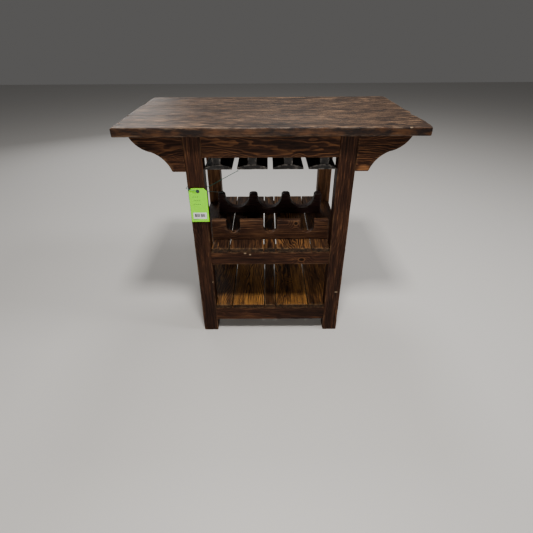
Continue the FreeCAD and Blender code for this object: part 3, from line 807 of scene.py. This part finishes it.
@dataclass
class Corbel:
    """A scroll bracket between a leg and the top."""

    node: str
    length: float = 0.186
    height: float = 0.131
    tip: float = 0.004
    waist: tuple[float, float] = (0.115, -0.060)
    foot: float = 0.051
    belly: float = 0.102
    cove: float = 0.110
    toe: float = 0.008

    def build(self) -> None:
        """Build the corbel, mirrored on the left."""
        low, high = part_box(self.node)
        left = "left" in self.node
        root, sign = (high.x, -1) if left else (low.x, 1)
        profile = [(0.0, 0.0), (self.length, 0.0)]
        profile += arc_through((self.length, -self.tip), self.waist, self.belly, True)
        heel = (self.foot, 0.75 * self.toe - self.height)
        profile += arc_through(self.waist, heel, self.cove, False)[1:]
        profile += arc_through(heel, (self.foot - 1.25 * self.toe, -self.height), self.toe, True, 4)[1:]
        profile.append((0.0, -self.height))
        outline = [(root + sign * x, high.z + z) for x, z in profile]
        Board(self.node + "_board", self.node, Finish.FRAME, Axis.X, Axis.Y,
              outline, low.y, high.y, edge=0.002, spacing=0.018, seed=3).build()


@dataclass
class Frame:
    """Legs, aprons, rails and corbels."""

    leg_edge: float = 0.004
    leg_figure: float = 0.35
    hidden_tenon: float = 0.017
    rails: tuple[tuple[str, float], ...] = (("apron", 1.1), ("mid_rail", 0.5), ("low_rail", 0.5))

    def build(self) -> None:
        """Build every timber of the frame."""
        for end in ENDS:
            for side in SIDES:
                # The rear legs take the lighter copy of the frame wood, which is painted light.
                plain_board("leg_%s_%s" % (end, side), Finish.FRAME if end == "front" else Finish.REAR,
                            Axis.Z, Axis.Y, edge=self.leg_edge, uneven=0.0009, chips=0.003,
                            figure=self.leg_figure).build()
                Corbel("corbel_%s_%s" % (end, side)).build()
        for level, figure in self.rails:
            for end in ENDS:
                plain_board("%s_%s" % (level, end), Finish.FRAME, Axis.X, Axis.Y,
                            self.hidden_tenon, seed=2, figure=figure).build()
            for side in SIDES:
                plain_board("%s_%s" % (level, side), Finish.FRAME, Axis.Y, Axis.X,
                            self.hidden_tenon, seed=2).build()


@dataclass
class Shelf:
    """Five planks laid front to back, the outer two notched round the legs."""

    level: str
    finish: Finish
    figures: tuple[float, ...]
    leg_gap: float = 0.001

    def build(self) -> None:
        """Build the planks."""
        shared = {"edge": 0.0015, "uneven": 0.0006, "chips": 0.002, "seed": 5}
        for number, figure in enumerate(self.figures, start=1):
            node = "%s_shelf_plank_%d" % (self.level, number)
            if number not in (1, len(self.figures)):
                plain_board(node, self.finish, Axis.Y, Axis.Z, figure=figure, **shared).build()
                continue
            low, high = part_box(node)
            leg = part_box("leg_front_left" if number == 1 else "leg_front_right")
            corner_y = leg[1].y + self.leg_gap
            step = leg[1].x + self.leg_gap if number == 1 else leg[0].x - self.leg_gap
            outer, inner = (low.x, high.x) if number == 1 else (high.x, low.x)
            outline = [(inner, low.y), (inner, high.y), (step, high.y), (step, -corner_y),
                       (outer, -corner_y), (outer, corner_y), (step, corner_y), (step, low.y)]
            Board(node + "_board", node, self.finish, Axis.Y, Axis.Z, outline, low.z, high.z,
                  figure=figure, **shared).build()


@dataclass
class BottleRack:
    """A front board notched for necks and a rear board scalloped for bottles."""

    pitch: float = 0.1525
    notch: float = 0.0275
    notch_depth: float = 0.057
    scallop: float = 0.056
    tooth_round: float = 0.013
    cradles: tuple[int, ...] = (-1, 0, 1)

    def build(self) -> None:
        """Build both boards."""
        # The body board takes the darker copy of the rack wood, which is painted shade.
        for node, maker, finish in (("bottle_neck_board", self._notch, Finish.RACK),
                                    ("bottle_body_board", self._scallop, Finish.SHADED_CRADLE)):
            low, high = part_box(node)
            outline = [(low.x, high.z), (low.x, low.z), (high.x, low.z), (high.x, high.z)]
            for place in reversed(self.cradles):
                outline += maker((low.x + high.x) / 2 + place * self.pitch, high.z)
            Board(node + "_piece", node, finish, Axis.X, Axis.Y, outline, low.y, high.y,
                  edge=0.0022, spacing=0.020, seed=8).build()

    def _notch(self, middle: float, top: float) -> Outline:
        """Return one neck notch, from its right lip to its left."""
        seat = top - self.notch_depth + self.notch
        return [(middle + self.notch, top), *arc((middle, seat), self.notch, 0, -180, 16),
                (middle - self.notch, top)]

    def _scallop(self, middle: float, top: float) -> Outline:
        """Return one bottle scallop, from its right tooth to its left."""
        seat = top - self.tooth_round
        lip = self.scallop + self.tooth_round
        return [*arc((middle + lip, seat), self.tooth_round, 90, 180, 5),
                *arc((middle, seat), self.scallop, 0, -180, 26)[1:-1],
                *arc((middle - lip, seat), self.tooth_round, 0, 90, 5)]


@dataclass
class GlassRails:
    """Four inverted T rails that hold glasses by the foot."""

    count: int = 4
    flange_edge: float = 0.009

    def build(self) -> None:
        """Build the stems and their bevelled flanges."""
        for number in range(1, self.count + 1):
            stem = "glass_rail_stem_%d" % number
            plain_board(stem, Finish.RAIL, Axis.Y, Axis.X, 0.005, edge=0.0015, seed=9).build()
            core_low, core_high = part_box(stem)
            node = "glass_rail_flange_%d" % number
            low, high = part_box(node)
            shoulder = low.z + self.flange_edge
            outline = [(low.x, low.z), (high.x, low.z), (high.x, shoulder), (core_high.x, high.z),
                       (core_low.x, high.z), (low.x, shoulder)]
            Board(node + "_board", node, Finish.RAIL, Axis.Y, Axis.Y, outline, low.y, high.y,
                  edge=0.0022, wear_reach=0.007, seed=9).build()


# ---------------------------------------------------------------- fasteners
@dataclass
class Hardware:
    """Nails, screws and dowels, which keep the frame's own shapes."""

    steel: tuple[str, ...] = ("mid_shelf_nails", "low_shelf_nails", "rack_board_screws", "glass_rail_screws")
    wood: tuple[str, ...] = ("top_seam_dowels", "apron_top_dowels", "corbel_dowels")

    def build(self) -> None:
        """Dress the fasteners."""
        steel = PALETTE.plain("dulled_steel", (0.045, 0.040, 0.037), 0.45, metallic=0.85, grain=0.002)
        beech = PALETTE.plain("beech_dowel", (0.42, 0.29, 0.17), 0.6, grain=0.003)
        for names, material in ((self.steel, steel), (self.wood, beech)):
            for name in names:
                dress(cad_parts[name], material)


def dress(piece: bpy.types.Object, material: bpy.types.Material) -> None:
    """Give a frame node one material in every slot."""
    if not piece.material_slots:
        piece.data.materials.append(material)
    for slot in piece.material_slots:
        slot.material = material


# ---------------------------------------------------------------- hang tag and string
@dataclass
class HangTag:
    """A bright card with a ring round its hole and a blank barred sticker, which keep the frame's shapes."""

    nodes: tuple[str, ...] = ("tag_card", "tag_eyelet", "tag_sticker")
    rows: tuple[tuple[float, float, float], ...] = (
        (0.25, 0.14, 0.50), (0.36, 0.22, 0.60), (0.47, 0.20, 0.62), (0.93, 0.10, 0.44))
    row_reach: float = 0.0022
    dash_pitch: float = 0.0075
    bar_pitch: float = 0.0026

    def build(self) -> list[bpy.types.Object]:
        """Dress the three pieces.

        Returns:
            The pieces, which hang on the string.
        """
        card, ring, sticker = (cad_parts[name] for name in self.nodes)
        dress(card, self._card_material(*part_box("tag_card")))
        dress(ring, PALETTE.plain("dark_ring_paper", (0.050, 0.022, 0.060), 0.6, grain=0.001))
        dress(sticker, self._sticker_material(*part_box("tag_sticker")))
        log.info("%s are dressed", ", ".join(self.nodes))
        return [card, ring, sticker]

    def _card_material(self, low: Vector, high: Vector) -> bpy.types.Material:
        """Return the card's bright colour with faint ruled dashes and a painted glow."""
        tree = ShaderTree("fluorescent_glowing_card")
        across, _, up = tree.parts(tree.place())
        size = high - low
        ink: Operand = 0.0
        for drop, start, stop in self.rows:
            middle = high.z - drop * size.z
            ink = (up.band(middle - self.row_reach, middle + self.row_reach, 0.0008)
                   * across.band(low.x + start * size.x, low.x + stop * size.x, 0.001) + ink)
        dash = tree.math("FRACT", across / self.dash_pitch).step(0.72, 0.66)
        fibre = tree.noise(tree.scaled(tree.place(), 900.0), 3.0, 0.6)
        base = tree.mix(fibre * 0.35, (0.30, 0.99, 0.0), (0.26, 0.92, 0.0))
        colour = tree.mix(ink * dash * 0.75, base, (0.08, 0.14, 0.10))
        # Painted glow: the emission makes the card give off light of its own, for its fluorescent brightness.
        tree.set(Base_Color=colour, Roughness=0.55 + (fibre - 0.5) * 0.1, Specular_IOR_Level=0.10,
                 Emission_Color=(0.25, 1.0, 0.0), Emission_Strength=0.08)
        tree.relief(fibre, 0.00004)
        return tree.material

    def _sticker_material(self, low: Vector, high: Vector) -> bpy.types.Material:
        """Return white paper with plain dark bars in two groups."""
        tree = ShaderTree("barred_sticker")
        across, _, up = tree.parts(tree.place())
        size = high - low
        bars = tree.noise(tree.vector(across / self.bar_pitch, 0.0, 0.0), 1.0).step(0.60, 0.55)
        inside = (up.band(low.z + 0.30 * size.z, low.z + 0.82 * size.z, 0.02 * size.z)
                  * across.band(low.x + 0.10 * size.x, low.x + 0.88 * size.x, 0.02 * size.x))
        gap = 1 - across.band(low.x + 0.47 * size.x, low.x + 0.55 * size.x, 0.02 * size.x)
        tone = tree.noise(tree.vector(across * 500, up * 500, 0.0), 2.0)
        paper = tree.mix(tone, (0.80, 0.82, 0.83), (0.88, 0.89, 0.90))
        tree.set(Base_Color=tree.mix(bars * inside * gap * 0.95, paper, (0.03, 0.03, 0.035)), Roughness=0.4)
        return tree.material


@dataclass
class TagString:
    """The tag's elastic string, pulled tight from rail to leg to bottle board.

    The route has the points of the string's own solid.
    """

    diameter: float = 0.0022
    length: float = 0.753
    knot_size: float = 0.00052
    knot_thinning: float = 0.75
    knot_points: int = 36
    route: tuple[tuple[float, float, float], ...] = (
        (-0.1255, -0.2445, 0.7475),
        (-0.2353, -0.2109, 0.6788),
        (-0.2436, -0.2079, 0.6735),
        (-0.2536, -0.2080, 0.6752),
        (-0.3022, -0.2067, 0.6838),
        (-0.3120, -0.2063, 0.6855),
        (-0.3121, -0.2164, 0.6869),
        (-0.3129, -0.2722, 0.6946),
        (-0.3130, -0.2821, 0.6960),
        (-0.3037, -0.2820, 0.6931),
        (-0.2839, -0.2817, 0.6869),
        (-0.2754, -0.2816, 0.6843),
        (-0.2686, -0.2759, 0.6824),
        (-0.2597, -0.2758, 0.6828),
        (-0.2526, -0.2757, 0.6831),
        (-0.2432, -0.2759, 0.6835),
        (-0.2431, -0.2666, 0.6797),
        (-0.2242, 0.0681, 0.5402),
        (-0.2236, 0.0790, 0.5356),
        (-0.2230, 0.0910, 0.5356),
    )

    def build(self, on_it: Sequence[bpy.types.Object]) -> None:
        """Build the string and its knots.

        Args:
            on_it: the pieces that hang on the string; not used.
        """
        material = self._material()
        curve = bpy.data.curves.new("tag_string_cord", "CURVE")
        curve.dimensions = "3D"
        curve.bevel_depth = self.diameter / 2
        curve.bevel_resolution = 4
        curve.resolution_u = 12
        curve.use_fill_caps = True
        spline = curve.splines.new("NURBS")
        spline.points.add(len(self.route) - 1)
        for point, place in zip(spline.points, self.route):
            point.co = (*place, 1.0)
        spline.order_u = 3
        spline.use_endpoint_u = True
        curve.materials.append(material)
        cord = linked("tag_string_cord", curve)
        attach(cord, ROOT)
        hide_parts("tag_string")
        knots = [self._knot("upper", self.route[0], self.route[1], material),
                 self._knot("lower", self.route[-1], self.route[-2], material)]
        log.info("tag_string_cord: %d route points", len(self.route))

    def _knot(self, name: str, end: Sequence[float], before: Sequence[float],
              material: bpy.types.Material) -> bpy.types.Object:
        """Build one overhand knot just past an end of the string.

        Args:
            name: which knot it is.
            end: the string's end.
            before: the route point before it.
            material: the string's material.

        Returns:
            The knot's object.
        """
        node = "string_knot_" + name
        low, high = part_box(node)
        along = (Vector(end) - Vector(before)).normalized()
        turn = along.to_track_quat("Z", "Y").to_matrix()
        curve = bpy.data.curves.new(node + "_tied", "CURVE")
        curve.dimensions = "3D"
        curve.bevel_depth = self.diameter / 2 * self.knot_thinning
        curve.bevel_resolution = 4
        spline = curve.splines.new("NURBS")
        spline.points.add(self.knot_points - 1)
        for number, point in enumerate(spline.points):
            angle = math.tau * number / self.knot_points
            flat = Vector((math.sin(angle) + 2 * math.sin(2 * angle),
                           math.cos(angle) - 2 * math.cos(2 * angle), -math.sin(3 * angle) * 1.7))
            point.co = (*((low + high) / 2 + turn @ (flat * self.knot_size)), 1.0)
        spline.use_cyclic_u = True
        spline.order_u = 4
        curve.materials.append(material)
        knot = linked(node + "_tied", curve)
        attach(knot, ROOT)
        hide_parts(node)
        return knot

    def _material(self) -> bpy.types.Material:
        """Return dark green covered elastic."""
        return PALETTE.plain("green_covered_elastic", (0.003, 0.105, 0.078), 0.5, blot=0.30, grain=0.0012)


# ---------------------------------------------------------------- studio
@dataclass(frozen=True)
class Lamp:
    """One square soft light."""

    name: str
    place: tuple[float, float, float]
    aim: tuple[float, float, float]
    size: float
    power: float
    tint: Colour

    def build(self) -> None:
        """Make the light."""
        data = bpy.data.lights.new(self.name, "AREA")
        data.shape = "SQUARE"
        data.size = self.size
        data.energy = self.power
        data.color = self.tint
        lamp = linked(self.name, data)
        lamp.location = self.place
        lamp.rotation_euler = (Vector(self.aim) - Vector(self.place)).to_track_quat("-Z", "Y").to_euler()


@dataclass
class Studio:
    """Camera, soft lights, and a plain pale floor.

    The focal length and the picture's side share a unit, and the camera's angles are in degrees.
    """

    focal: float = 381.5
    picture: float = 533.0
    place: tuple[float, float, float] = (-0.01666, -1.60918, 1.21099)
    pitch: float = 32.82
    heading: float = -0.14
    roll: float = -0.34
    floor_colour: Colour = (0.60, 0.59, 0.575)
    air_colour: Colour = (0.84, 0.82, 0.80)
    air_strength: float = 0.12
    lamps: tuple[Lamp, ...] = (
        Lamp("key", (0.05, -1.25, 3.2), (0.0, 0.0, 0.55), 0.42, 84.0, (1.0, 0.96, 0.91)),
        Lamp("side", (2.3, -0.5, 3.0), (0.0, 0.0, 0.55), 0.8, 44.0, (1.0, 0.98, 0.96)),
        Lamp("front", (-0.02, -1.75, 0.86), (0.0, 0.0, 0.62), 0.45, 6.5, (1.0, 0.94, 0.87)),
        Lamp("back_left", (-1.9, 3.0, 1.8), (-0.3, 0.0, 0.9), 1.6, 23.0, (1.0, 0.98, 0.96)),
        Lamp("back_top", (0.1, 1.7, 3.3), (0.0, 0.2, 0.5), 0.8, 40.0, (1.0, 0.98, 0.95)),
    )

    def camera(self) -> None:
        """Make the camera."""
        data = bpy.data.cameras.new("camera")
        data.sensor_width = 36.0
        data.lens = self.focal / self.picture * 36.0
        pitch, heading, roll = (math.radians(x) for x in (self.pitch, self.heading, self.roll))
        ahead = Vector((math.sin(heading) * math.cos(pitch), math.cos(heading) * math.cos(pitch),
                        -math.sin(pitch)))
        right = Vector((math.cos(heading), -math.sin(heading), 0.0))
        up = right.cross(ahead)
        tilted = right * math.cos(roll) + up * math.sin(roll)
        over = up * math.cos(roll) - right * math.sin(roll)
        turn = Matrix((tilted, over, -ahead)).transposed()
        camera = linked("camera", data)
        camera.matrix_world = Matrix.Translation(self.place) @ turn.to_4x4()
        bpy.context.scene.camera = camera

    def floor(self) -> None:
        """Make the pale floor."""
        mesh = bpy.data.meshes.new("studio_floor")
        bm = bmesh.new()
        bmesh.ops.create_grid(bm, x_segments=8, y_segments=8, size=8.0)
        bm.to_mesh(mesh)
        bm.free()
        tree = ShaderTree("pale_floor")
        tree.set(Base_Color=self.floor_colour, Roughness=0.85)
        mesh.materials.append(tree.material)
        linked("studio_floor", mesh)

    def lights(self) -> None:
        """Make the lights and the surroundings."""
        for lamp in self.lamps:
            lamp.build()
        world = bpy.data.worlds.new("studio")
        world.use_nodes = True
        shade = world.node_tree.nodes["Background"]
        shade.inputs["Color"].default_value = (*self.air_colour, 1.0)
        shade.inputs["Strength"].default_value = self.air_strength
        bpy.context.scene.world = world


def main() -> None:
    """Build every sub-assembly in order."""
    logging.basicConfig(level=logging.INFO, format="%(name)s: %(message)s")
    studio = Studio()
    studio.camera()
    TagString().build(HangTag().build())
    shelves = (Shelf("mid", Finish.MID_SHELF, (0.6, 0.5, 1.1, 1.3, 0.4)),
               Shelf("low", Finish.SHELF, (0.8, 1.4, 0.2, 1.1, 0.4)))
    for part in (Top(), Frame(), *shelves, BottleRack(), GlassRails(), Hardware()):
        part.build()
        log.info("%s is built", type(part).__name__)
    studio.floor()
    studio.lights()


if __name__ == "__main__":
    main()
